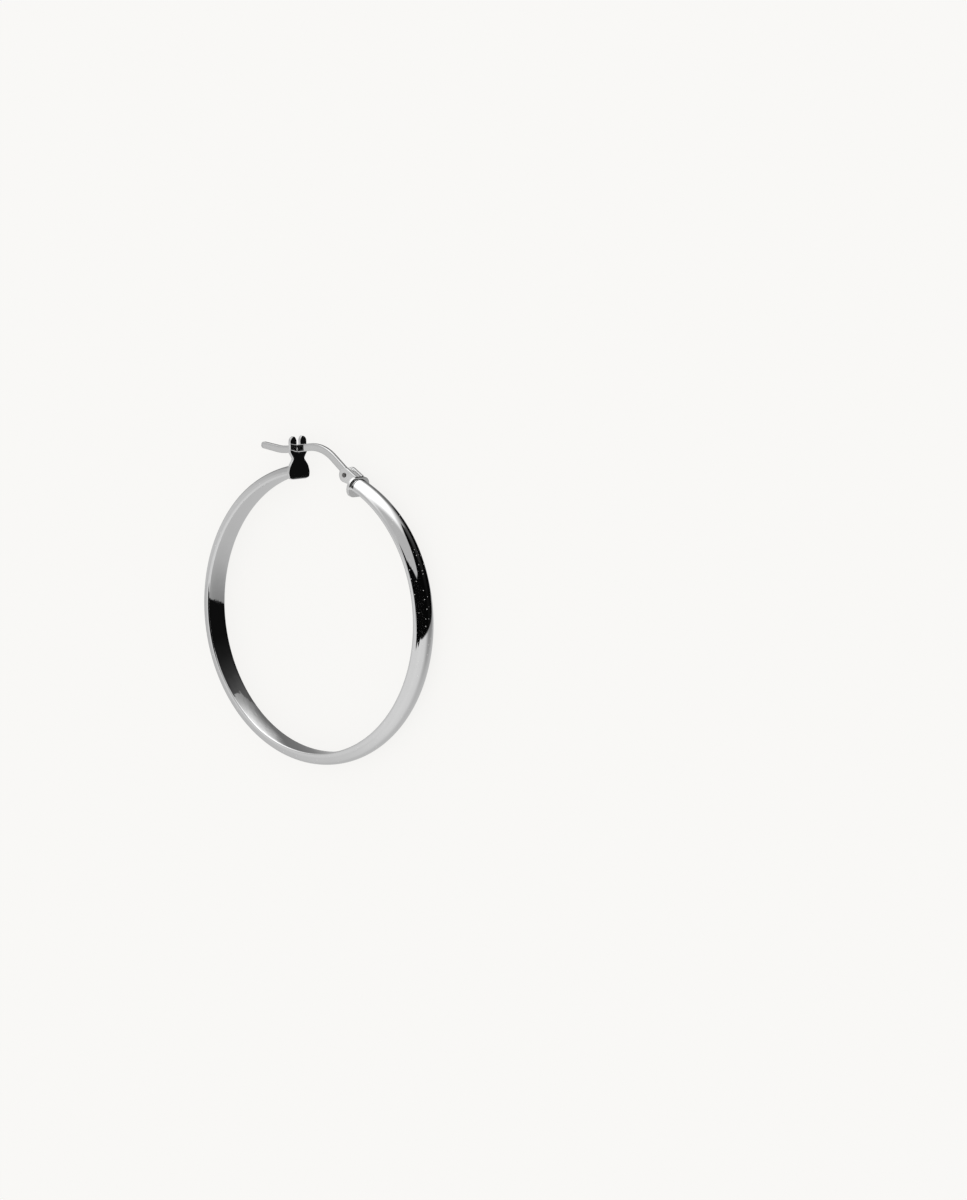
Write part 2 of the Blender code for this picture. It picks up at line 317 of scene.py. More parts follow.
def skin(
    name: str, rings: Sequence[Sequence[Vector]], matrix: Matrix, loop: bool = False
) -> bpy.types.Mesh:
    """Joins closed rings of points into one closed, smooth form.

    Args:
        name: the mesh's name.
        rings: rings with equal numbers of points.
        matrix: what places the form.
        loop: joins the last ring to the first; otherwise flat faces close both ends.

    Returns:
        The mesh, with its faces turned outwards.
    """
    form = bmesh.new()
    loops = [[form.verts.new(point) for point in ring] for ring in rings]
    pairs = list(zip(loops, loops[1:]))
    if loop:
        pairs.append((loops[-1], loops[0]))
    count = len(loops[0])
    for near, far in pairs:
        for index in range(count):
            beside = (index + 1) % count
            form.faces.new((near[index], near[beside], far[beside], far[index])).smooth = True
    if not loop:
        form.faces.new(list(reversed(loops[0])))
        form.faces.new(loops[-1])
    form.transform(matrix)
    bmesh.ops.recalc_face_normals(form, faces=form.faces)
    mesh = bpy.data.meshes.new(name)
    form.to_mesh(mesh)
    form.free()
    mesh.set_sharp_from_angle(angle=SHARP_ANGLE)
    return mesh


def rounded_slab(
    name: str, outline: Sequence[Point2], levels: Point2, rounding: float, matrix: Matrix
) -> bpy.types.Mesh:
    """A flat form with rounded rims.

    Args:
        name: the mesh's name.
        outline: its outline in local X and Y.
        levels: its lowest and highest local Z.
        rounding: the radius of its rims.
        matrix: what places the form.

    Returns:
        The mesh.
    """
    turns = [QUARTER * step / RIM_STEPS for step in range(RIM_STEPS + 1)]
    rims = [(rounding * (1.0 - math.sin(t)), rounding * (1.0 - math.cos(t))) for t in turns]
    stations = [(drawn_in, levels[0] + rise) for drawn_in, rise in rims]
    stations += [(drawn_in, levels[1] - rise) for drawn_in, rise in reversed(rims)]
    rings = [[Vector((x, y, level)) for x, y in inset(outline, drawn_in)]
             for drawn_in, level in stations]
    return skin(name, rings, matrix)


def turned(
    name: str, profile: Sequence[Point2], sides: int, matrix: Matrix, loop: bool
) -> bpy.types.Mesh:
    """A form turned round local Z.

    Args:
        name: the mesh's name.
        profile: (radius, level) pairs.
        sides: how many sides the form has.
        matrix: what places the form.
        loop: the profile is closed, so the form is a ring.

    Returns:
        The mesh.
    """
    rings = []
    for radius, level in profile:
        circle = arc((0.0, 0.0), radius, 0.0, math.tau, sides)[:-1]
        rings.append([Vector((x, y, level)) for x, y in circle])
    return skin(name, rings, matrix, loop)


def joined(name: str, meshes: Sequence[bpy.types.Mesh]) -> bpy.types.Mesh:
    """Puts several closed forms that reach into each other in one mesh."""
    form = bmesh.new()
    for mesh in meshes:
        form.from_mesh(mesh)
    made = bpy.data.meshes.new(name)
    form.to_mesh(made)
    form.free()
    return made


# Placing


@dataclass(frozen=True)
class Rest:
    """How the earring lies: the lean of the hoop and the place of its centre."""

    hinge_in_hoop: Vector

    def matrix(self) -> Matrix:
        """The matrix from the hoop's own axes to the frame's, read from the frame's hinge."""
        joint = frame["joints"][0]
        axis = Vector(joint["axis"])
        lean = Matrix.Rotation(math.atan2(axis.y, -axis.z), 4, "X")
        place = Vector(joint["pos_m"]) - lean @ self.hinge_in_hoop
        return Matrix.Translation(place) @ lean


def plate_frame(side: Side, lean: float, foot: float, tube_end: Vector) -> Matrix:
    """The frame of an end plate: X across it, Y up it, Z out of it into the gap.

    Args:
        side: which end of the tube the plate closes.
        lean: the angle of the plate's Y from the clasp's middle.
        foot: how far the tube's end lies above the frame's origin.
        tube_end: the centre of the tube's end.

    Returns:
        The frame, in the hoop's own axes.
    """
    up = on_hoop(1.0, side.value * lean)
    out = Vector((-side.value * up.y, side.value * up.x, 0.0))
    matrix = Matrix((up.cross(out), up, out)).transposed().to_4x4()
    matrix.translation = tube_end - up * foot
    return matrix


def add_piece(
    mesh: bpy.types.Mesh, material: bpy.types.Material, body: Body, slot: Slot, *nodes: str
) -> None:
    """Shows a mesh as a piece of the earring.

    Args:
        mesh: the mesh, already in the frame's place.
        material: its finish.
        body: the body that it rides on.
        slot: the record's slot for its finish; not used.
        nodes: the nodes that it stands for.
    """
    piece = bpy.data.objects.new(mesh.name, mesh)
    bpy.context.scene.collection.objects.link(piece)
    mesh.materials.clear()
    mesh.materials.append(material)
    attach(piece, body.value)
    if nodes:
        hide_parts(*nodes)
    log.info("%s: %d faces, rides on %s", piece.name, len(mesh.polygons), body.value)


# Finishes


@dataclass(frozen=True)
class SilverFinish:
    """Silver with its polish, its slight unevenness, its fine scratches and specks of dust."""

    name: str
    bright: Colour
    dull: Colour
    roughness: float
    roughness_spread: float
    wave_height: float
    wave_length: float
    scratch_depth: float
    hoop_middle_y: float
    scratch_width: float = 0.05 * MM
    ripple_share: float = 0.0
    dust: float = 0.0
    grain: Grain = Grain.ANY_WAY

    # shares of the wave length: along the marks, then both ways across them
    wave_stretch: Triple = (2.4, 0.55, 0.55)
    ripple_stretch: Triple = (0.5, 0.35, 0.35)
    scratch_stretch: float = 30.0
    grain_radius: float = 16.3 * MM
    dome_edge: SoftEdge = (15.95 * MM, 0.1 * MM)
    dust_spacing: float = 0.35 * MM
    # the border of a speck, and how rarely a place has one
    dust_edge: SoftEdge = (0.13, 0.08)
    dust_rarity: SoftEdge = (0.66, 0.04)
    dust_colour: Colour = (0.75, 0.75, 0.74)
    dust_cover: float = 0.95
    dust_roughness: float = 0.5

    def material(self) -> bpy.types.Material:
        """Builds the material.

        Returns:
            The material, with its colour, polish and relief from nodes.
        """
        made = bpy.data.materials.new(self.name)
        made.use_nodes = True
        graph = NodeGraph(made.node_tree)
        place = self._place(graph)
        cloud = self._noise(graph, place, (self.wave_length,) * 3, detail=3.0)
        waves = self._noise(graph, place, self._stretched(self.wave_stretch), detail=2.0)
        ripples = self._noise(graph, place, self._stretched(self.ripple_stretch), detail=1.0)
        inside = 1.0 - self._outside(graph)
        waves = waves + ripples * inside * self.ripple_share
        scratch = (self.scratch_width * self.scratch_stretch, *(self.scratch_width,) * 2)
        scratches = self._noise(graph, place, scratch, detail=4.0)
        dust = self._dust(graph, place) * self._outside(graph) * self.dust
        tint = graph.node(
            "Mix", {"data_type": "RGBA"}, {0: cloud, 6: (*self.dull, 1.0), 7: (*self.bright, 1.0)})
        dusted = graph.node(
            "Mix", {"data_type": "RGBA"},
            {0: dust, 6: tint.outputs[2], 7: (*self.dust_colour, 1.0)})
        relief = graph.node(
            "Bump", None, {"Strength": 1.0, "Distance": self.wave_height, "Height": waves})
        fine = graph.node(
            "Bump", None, {"Strength": 1.0, "Distance": self.scratch_depth, "Height": scratches,
                           "Normal": relief.outputs[0]})
        uneven = (scratches - 0.5) * self.roughness_spread + self.roughness
        shader = graph.node(
            "BsdfPrincipled", None,
            {"Base Color": dusted.outputs[2], "Metallic": 1.0 - dust * self.dust_cover,
             "Roughness": uneven + dust * self.dust_roughness, "Normal": fine.outputs[0]})
        graph.node("OutputMaterial", None, {"Surface": shader.outputs[0]})
        return made

    def _place(self, graph: NodeGraph) -> bpy.types.NodeSocket:
        """The coordinates that the marks follow.

        Args:
            graph: the material's graph.

        Returns:
            A vector whose X runs along the marks.
        """
        if self.grain is Grain.ANY_WAY:
            return graph.node("TexCoord").outputs["Object"]
        x, y, z, radius = self._from_axis(graph)
        along = x.math("ARCTAN2", y * -1.0) * self.grain_radius
        return graph.node("CombineXYZ", None, {0: along, 1: radius, 2: z}).outputs[0]

    def _outside(self, graph: NodeGraph) -> Value:
        """1 on the tube's domed outside, where dust settles, and 0 further in."""
        return self._from_axis(graph)[3].step(*self.dome_edge)

    def _from_axis(self, graph: NodeGraph) -> tuple[Value, Value, Value, Value]:
        """Measures a point from the hoop's axis.

        Args:
            graph: the material's graph.

        Returns:
            The point's X, its Y from the axis, its Z and its distance from the axis.
        """
        parts = graph.node("SeparateXYZ", None, {0: graph.node("TexCoord").outputs["Object"]})
        x = graph.value(parts, 0)
        y = graph.value(parts, 1) - self.hoop_middle_y
        return x, y, graph.value(parts, 2), (x * x + y * y).math("SQRT")

    def _stretched(self, stretch: Triple) -> Triple:
        """The wave length, stretched along each axis."""
        return tuple(self.wave_length * share for share in stretch)

    @staticmethod
    def _noise(
        graph: NodeGraph, place: bpy.types.NodeSocket, sizes: Triple, detail: float
    ) -> Value:
        """Soft noise with its own size along each axis.

        Args:
            graph: the material's graph.
            place: the coordinates.
            sizes: how large the noise is along each axis.
            detail: how much finer noise lies in it.

        Returns:
            The noise, from 0 to 1.
        """
        scaled = graph.node(
            "VectorMath", {"operation": "DIVIDE"}, {0: place, 1: sizes}).outputs[0]
        made = graph.node("TexNoise", None, {"Vector": scaled, "Scale": 1.0, "Detail": detail})
        return graph.value(made)

    def _dust(self, graph: NodeGraph, place: bpy.types.NodeSocket) -> Value:
        """A few small specks.

        Args:
            graph: the material's graph.
            place: the coordinates.

        Returns:
            1 on a speck and 0 elsewhere.
        """
        scaled = graph.node(
            "VectorMath", {"operation": "SCALE"},
            {0: place, "Scale": 1.0 / self.dust_spacing}).outputs[0]
        cells = graph.node("TexVoronoi", None, {"Vector": scaled, "Scale": 1.0})
        chance = graph.value(graph.node("SeparateColor", None, {0: cells.outputs["Color"]}))
        near = 1.0 - graph.value(cells, "Distance").step(*self.dust_edge)
        return near * chance.step(*self.dust_rarity)


# The earring


@dataclass(frozen=True)
class Hoop:
    """The D-section tube with the catch plate and the hinge's plate and fork soldered on."""

    outer_radius: float = 16.996 * MM
    tube_width: float = 2.70 * MM
    tube_depth: float = 1.426 * MM
    tube_end_radius: float = 16.285 * MM
    side_wall: float = 0.37 * MM
    inner_crown: float = 0.06 * MM
    inner_rounding: float = 0.16 * MM
    gap_angle: float = math.radians(33.0)
    slimming: float = 0.20 * MM
    slim_sweep: float = math.radians(35.0)
    solder_fillet: float = 0.02 * MM
    tube_steps: int = 400
    dome_steps: int = 44
    face_steps: int = 16
    corner_steps: int = 8
    fine_sweep: float = math.radians(2.4)
    fine_steps: int = 24

    plate_thickness: float = 0.35 * MM
    plate_width: float = 3.318 * MM
    plate_rounding: float = 0.03 * MM

    catch_lean: float = math.radians(8.4)
    catch_foot: float = 1.15 * MM
    catch_height: float = 4.80 * MM
    seat_height: float = 3.43 * MM
    slot_flare: float = 0.45 * MM
    slot_width: float = 0.60 * MM
    pocket_relief: float = 0.05 * MM
    wire_height: float = 0.84 * MM
    side_steps: int = 8
    pocket_steps: int = 20
    catch_side: tuple[Point2, ...] = (
        # share of the plate's half width, share of its height: foot, waist, shoulder, ear
        (0.60, 0.000), (0.90, 0.030), (0.975, 0.080), (1.00, 0.140), (0.975, 0.205), (0.87, 0.310),
        (0.68, 0.400), (0.54, 0.465), (0.57, 0.510), (0.70, 0.575), (0.785, 0.622), (0.78, 0.700),
        (0.775, 0.800), (0.765, 0.900), (0.66, 0.965), (0.42, 1.000), (0.27, 0.965))

    hinge_lean: float = math.radians(7.1)
    hinge_foot: float = 1.595 * MM
    hinge_height: float = 2.27 * MM
    foot_rounding: float = 1.10 * MM
    top_rounding: float = 1.05 * MM
    pivot_rise: float = 0.45 * MM
    pivot_reach: float = 1.47 * MM
    fork_radius: float = 0.82 * MM
    fork_slot: float = 0.60 * MM
    cheek_thickness: float = 0.42 * MM
    neck_height: float = 1.14 * MM
    fork_top_turn: float = math.radians(110.0)
    fork_floor: float = 0.955 * MM
    fork_rounding: float = 0.06 * MM
    foot_steps: int = 20
    top_steps: int = 16
    ear_steps: int = 48

    def tube_end(self, side: Side) -> Vector:
        """The centre of one end of the tube."""
        return on_hoop(self.tube_end_radius, side.value * self.gap_angle / 2.0)

    def catch_frame(self) -> Matrix:
        """The catch plate's frame."""
        return plate_frame(Side.CATCH, self.catch_lean, self.catch_foot, self.tube_end(Side.CATCH))

    def hinge_frame(self) -> Matrix:
        """The hinge plate's frame."""
        return plate_frame(Side.HINGE, self.hinge_lean, self.hinge_foot, self.tube_end(Side.HINGE))

    def pivot(self) -> Vector:
        """Where the hinge's axis crosses the hoop's middle plane."""
        return self.hinge_frame() @ Vector((0.0, *reversed(self._pivot_on_plate())))

    def seat(self) -> Vector:
        """Where the ear wire's middle line passes through the catch plate."""
        return self.catch_frame() @ Vector((0.0, self.seat_height, 0.0))

    def build(self, rest: Matrix, silvers: Mapping[Finish, bpy.types.Material]) -> None:
        """Builds and dresses the hoop.

        Args:
            rest: what sets the hoop down.
            silvers: the finishes, of which the tube, the catch and the hinge are used.
        """
        add_piece(self._tube(rest), silvers[Finish.TUBE], Body.HOOP, Slot.HOOP, "hoop")
        add_piece(self._catch_plate(rest), silvers[Finish.CATCH], Body.HOOP, Slot.HOOP)
        add_piece(self._hinge_plate(rest), silvers[Finish.HINGE], Body.HOOP, Slot.HOOP)

    def _pivot_on_plate(self) -> Point2:
        """The pivot as (distance out of the hinge plate's middle plane, height on the plate)."""
        return (self.pivot_reach + self.plate_thickness / 2.0, self.hinge_foot + self.pivot_rise)

    def _section(self) -> list[Point2]:
        """The D-shaped section as (distance outside the inner face, height) pairs."""
        half = self.tube_width / 2.0
        flat = half - self.inner_rounding
        steps = self.face_steps
        levels = [flat * (2.0 * step / steps - 1.0) for step in range(1, steps)]
        face = [(self.inner_crown * (level / flat) ** 2, level) for level in levels]
        centre = (self.inner_crown + self.inner_rounding, flat)
        corner = arc(centre, self.inner_rounding, math.pi, QUARTER, self.corner_steps)
        depth = self.tube_depth - self.side_wall
        turns = [math.pi * step / self.dome_steps for step in range(self.dome_steps + 1)]
        dome = [(self.side_wall + depth * math.sin(t), half * math.cos(t)) for t in turns]
        mirrored = [(out, -height) for out, height in reversed(corner)]
        return face + corner + dome + mirrored

    def _travels(self) -> list[float]:
        """How far round the hoop each section lies, with finer steps near both ends."""
        sweep = math.tau - self.gap_angle
        fine = self.fine_sweep
        near = [fine * step / self.fine_steps for step in range(self.fine_steps)]
        stretch = sweep - 2.0 * fine
        middle = [fine + stretch * step / self.tube_steps for step in range(self.tube_steps + 1)]
        return near + middle + [sweep - travelled for travelled in reversed(near)]

    def _tube(self, rest: Matrix) -> bpy.types.Mesh:
        """The tube, slimmer towards its ends, with a fillet of solder at each plate.

        Args:
            rest: what sets it down.

        Returns:
            The mesh.
        """
        section = self._section()
        grown = inset(section, -self.solder_fillet)
        sweep = math.tau - self.gap_angle
        inner_radius = self.outer_radius - self.tube_depth
        backs = [self.catch_frame().inverted(), self.hinge_frame().inverted()]
        rings = []
        for travelled in self._travels():
            slim = 1.0 - eased(min(min(travelled, sweep - travelled) / self.slim_sweep, 1.0))
            depth_scale = 1.0 - slim * self.slimming / self.tube_depth
            width_scale = 1.0 - slim * self.slimming / self.tube_width
            angle = self.gap_angle / 2.0 + travelled
            ring = []
            for (out, height), (wide_out, wide_height) in zip(section, grown):
                radius = inner_radius + out * depth_scale
                flare = self._flare(self._tube_point(radius, angle, height * width_scale), backs)
                out += (wide_out - out) * flare
                height += (wide_height - height) * flare
                radius = inner_radius + out * depth_scale
                ring.append(self._tube_point(radius, angle, height * width_scale))
            rings.append(ring)
        return skin("hoop_tube", rings, rest)

    @staticmethod
    def _tube_point(radius: float, angle: float, height: float) -> Vector:
        """A point of the tube's surface."""
        point = on_hoop(radius, angle)
        point.z = height
        return point

    def _flare(self, point: Vector, backs: Sequence[Matrix]) -> float:
        """How far the solder has widened the tube at a point.

        Args:
            point: a point of the tube.
            backs: what takes a point into each plate's frame.

        Returns:
            0 clear of the plates and 1 at them.
        """
        flare = 0.0
        for back in backs:
            local = back @ point
            if abs(local.y) > self.catch_height or local.z > self.plate_thickness:
                continue
            gap = (-self.plate_thickness / 2.0 - local.z) / self.solder_fillet
            reach = 1.0 - min(max(gap, 0.0), 1.0)
            flare = max(flare, 1.0 - math.sqrt(1.0 - reach * reach))
        return flare

    def _catch_plate(self, rest: Matrix) -> bpy.types.Mesh:
        """The catch plate: a wide foot, a waist, and an ear on each side of a keyhole slot.

        Args:
            rest: what sets it down.

        Returns:
            The mesh.
        """
        half = self.plate_width / 2.0
        corners = [(x * half, y * self.catch_height) for x, y in self.catch_side]
        side = smooth_curve(corners, self.side_steps)
        mouth = self.slot_width / 2.0
        pocket = mouth + self.pocket_relief
        pocket_y = self.seat_height - self.wire_height / 2.0 - self.pocket_relief + pocket
        opening = math.acos(mouth / pocket)
        round_part = arc((0.0, pocket_y), pocket, opening, -QUARTER, self.pocket_steps)
        right = side + [(mouth, self.catch_height - self.slot_flare)] + round_part
        outline = right + [(-x, y) for x, y in reversed(right[:-1])]
        levels = (-self.plate_thickness / 2.0, self.plate_thickness / 2.0)
        place = rest @ self.catch_frame()
        return rounded_slab("catch_plate", outline, levels, self.plate_rounding, place)

    def _hinge_plate(self, rest: Matrix) -> bpy.types.Mesh:
        """The hinge plate and its fork: two cheeks and the neck between them.

        Args:
            rest: what sets it down.

        Returns:
            The mesh.
        """
        place = rest @ self.hinge_frame()
        half = self.plate_width / 2.0
        foot = (half - self.foot_rounding, self.foot_rounding)
        crown = (half - self.top_rounding, self.hinge_height - self.top_rounding)
        right = arc(foot, self.foot_rounding, -QUARTER, 0.0, self.foot_steps)
        right += arc(crown, self.top_rounding, 0.0, QUARTER, self.top_steps)
        outline = right + [(-x, y) for x, y in reversed(right)]
        thickness = (-self.plate_thickness / 2.0, self.plate_thickness / 2.0)
        forms = [rounded_slab("plate", outline, thickness, self.plate_rounding, place)]
        stand = place @ Matrix.Rotation(-QUARTER, 4, "Y")
        centre = self._pivot_on_plate()
        bottom = centre[1] - self.fork_radius
        top = bottom + self.neck_height
        ear = arc(centre, self.fork_radius, -QUARTER, self.fork_top_turn, self.ear_steps)
        cheek = [(0.0, top), (0.0, bottom)] + ear
        inside = self.fork_slot / 2.0
        outside = inside + self.cheek_thickness
        for levels in ((inside, outside), (-outside, -inside)):
            forms.append(rounded_slab("cheek", cheek, levels, self.fork_rounding, stand))
        tuck = self.fork_rounding / 3.0
        rise = (ear[-1][1] - top) * self.fork_floor / ear[-1][0]
        block = [(0.0, bottom + tuck), (self.fork_floor, bottom + tuck),
                 (self.fork_floor, top + rise - tuck), (0.0, top - tuck)]
        reach = inside + self.cheek_thickness / 2.0
        forms.append(rounded_slab("neck", block, (-reach, reach), tuck, stand))
        return joined("hinge_plate", forms)


@dataclass(frozen=True)
class EarWire:
    """The swinging ear wire: a strip with a round eye at its hinged end."""

    height: float
    thickness: float = 0.50 * MM
    rounding: float = 0.10 * MM
    tail: float = 5.50 * MM
    tail_taper: float = 0.12
    bow_radius: float = 4.787 * MM
    tail_radius: float = 6.00 * MM
    bow_corner: Point2 = (0.5655, 0.2013)
    tail_corner: Point2 = (1.258, -0.1203)
    tail_fall: float = math.radians(10.2)
    eye_radius: float = 0.64 * MM
    eye_thickness: float = 0.46 * MM
    eye_hole: float = 0.22 * MM
    eye_rounding: float = 0.07 * MM
    eye_overlap: float = 0.15 * MM
    eye_sides: int = 96
    eye_corner_steps: int = 5
    bend_steps: int = 40
    corner_steps: int = 8
    tip_steps: int = 14
    tip_turn: float = math.radians(88.0)
    tip_thickness: float = 0.25

    def build(self, rest: Matrix, hoop: Hoop, silver: bpy.types.Material) -> None:
        """Builds and dresses the ear wire.

        Args:
            rest: what sets it down.
            hoop: the hoop that it is hinged to.
            silver: its finish.
        """
        place = rest @ Matrix.Translation(hoop.pivot())
        strip = skin("strip", self._rings(hoop.seat() - hoop.pivot()), place)
        half = self.eye_thickness / 2.0
        rounding = self.eye_rounding
        corners = (
            (self.eye_radius - rounding, half - rounding, 0.0),
            (self.eye_hole + rounding, half - rounding, QUARTER),
            (self.eye_hole + rounding, rounding - half, 2.0 * QUARTER),
            (self.eye_radius - rounding, rounding - half, 3.0 * QUARTER))
        profile = []
        for x, y, start in corners:
            profile += arc((x, y), rounding, start, start + QUARTER, self.eye_corner_steps)
        eye = turned("eye", profile, self.eye_sides, place, True)
        whole = joined("ear_wire_strip", [strip, eye])
        add_piece(whole, silver, Body.EAR_WIRE, Slot.WIRE, "ear_wire")

    def _path(self, to_seat: Vector) -> list[Vector]:
        """The strip's middle line from the pivot to its tip.

        Args:
            to_seat: the way from the pivot to the catch's seat.

        Returns:
            The line's points, drawn round the pivot.
        """
        span = to_seat.length
        along = to_seat.normalized()
        outside = along.cross(Vector((0.0, 0.0, 1.0)))
        bow = (along * self.bow_corner[0] + outside * self.bow_corner[1]) * span
        bend = (along * self.tail_corner[0] + outside * self.tail_corner[1]) * span
        fall = along * math.cos(self.tail_fall) - outside * math.sin(self.tail_fall)
        tip = bend + fall * (self.tail - (bend - to_seat).length)
        path = [Vector((0.0, 0.0, 0.0))]
        for before, corner, after, radius in (
            (path[0], bow, bend, self.bow_radius), (bow, bend, tip, self.tail_radius)
        ):
            path += self._fillet(before, corner, after, radius)
        return [*path, tip]

    def _fillet(
        self, before: Vector, corner: Vector, after: Vector, radius: float
    ) -> list[Vector]:
        """Rounds a corner of the strip's middle line.

        Args:
            before: the corner before it.
            corner: the corner to round.
            after: the corner after it.
            radius: the radius of the bend.

        Returns:
            The points of the bend, both ends included.
        """
        come = (corner - before).normalized()
        leave = (after - corner).normalized()
        turn = come.angle(leave)
        start = corner - come * (radius * math.tan(turn / 2.0))
        centre = corner + (leave - come).normalized() * (radius / math.cos(turn / 2.0))
        axis = come.cross(leave).normalized()
        turns = [turn * (step / self.bend_steps) for step in range(self.bend_steps + 1)]
        return [centre + Matrix.Rotation(t, 3, axis) @ (start - centre) for t in turns]

    def _section(self) -> list[Point2]:
        """The strip's section as (distance across the strip, height along Z) pairs."""
        x = self.height / 2.0 - self.rounding
        z = self.thickness / 2.0 - self.rounding
        section = []
        for index, (side_x, side_z) in enumerate(((1, 1), (-1, 1), (-1, -1), (1, -1))):
            centre = (side_x * x, side_z * z)
            start = index * QUARTER
            section += arc(centre, self.rounding, start, start + QUARTER, self.corner_steps)
        return section

    def _rings(self, to_seat: Vector) -> list[list[Vector]]:
        """The strip's sections along its path, drawn in to a round tip.

        Args:
            to_seat: the way from the pivot to the catch's seat.

        Returns:
            One ring of points for each section.
        """
        path = self._path(to_seat)
        up = Vector((0.0, 0.0, 1.0))
        start = path[0].lerp(path[1], (self.eye_radius - self.eye_overlap) / path[1].length)
        stations = [(start, path[1] - path[0], 1.0, 1.0)]
        for before, point, after in zip(path, path[1:], path[2:]):
            past_seat = max((point - to_seat).dot(to_seat.normalized()), 0.0)
            tapered = 1.0 - self.tail_taper * past_seat / self.tail
            stations.append((point, after - before, tapered, 1.0))
        heading = (path[-1] - path[-2]).normalized()
        tip_share = 1.0 - self.tail_taper
        reach = self.height * tip_share / 2.0
        for step in range(self.tip_steps + 1):
            turn = self.tip_turn * step / self.tip_steps
            point = path[-1] + heading * (reach * (math.sin(turn) - 1.0))
            thin = self.tip_thickness + (1.0 - self.tip_thickness) * math.sqrt(math.cos(turn))
            stations.append((point, heading, tip_share * math.cos(turn), thin))
        rings = []
        for point, direction, height_scale, thickness_scale in stations:
            across = direction.normalized().cross(up)
            rings.append([point + across * (x * height_scale) + up * (z * thickness_scale)
                          for x, z in self._section()])
        return rings


@dataclass(frozen=True)
class HingeRivet:
    """The rivet through the fork and the eye, with a low domed head on each side."""

    radius: float = 0.17 * MM
    head_radius: float = 0.27 * MM
    head_height: float = 0.07 * MM
    seat: float = 0.77 * MM
    sides: int = 64
    head_profile: tuple[Point2, ...] = (
        # share of the head's radius, share of its height
        (1.00, 0.00), (0.985, 0.25), (0.93, 0.50), (0.84, 0.72), (0.70, 0.88), (0.50, 0.97),
        (0.25, 1.00))

    def build(self, rest: Matrix, hoop: Hoop, silver: bpy.types.Material) -> None:
        """Builds and dresses the rivet.

        Args:
            rest: what sets it down.
            hoop: the hoop that holds it.
            silver: its finish.
        """
        head = [(share * self.head_radius, self.seat + rise * self.head_height)
                for share, rise in self.head_profile]
        upper = [(self.radius, self.seat)] + head
        profile = [(radius, -level) for radius, level in reversed(upper)] + upper
        place = rest @ Matrix.Translation(hoop.pivot())
        mesh = turned("hinge_rivet_turned", profile, self.sides, place, False)
        add_piece(mesh, silver, Body.HOOP, Slot.RIVET, "hinge_rivet")


# The studio


def linear(tone: float) -> float:
    """The light that shows as a tone from 0 to 255."""
    share = tone / 255.0
    return share / 12.92 if share <= 0.04045 else ((share + 0.055) / 1.055) ** 2.4


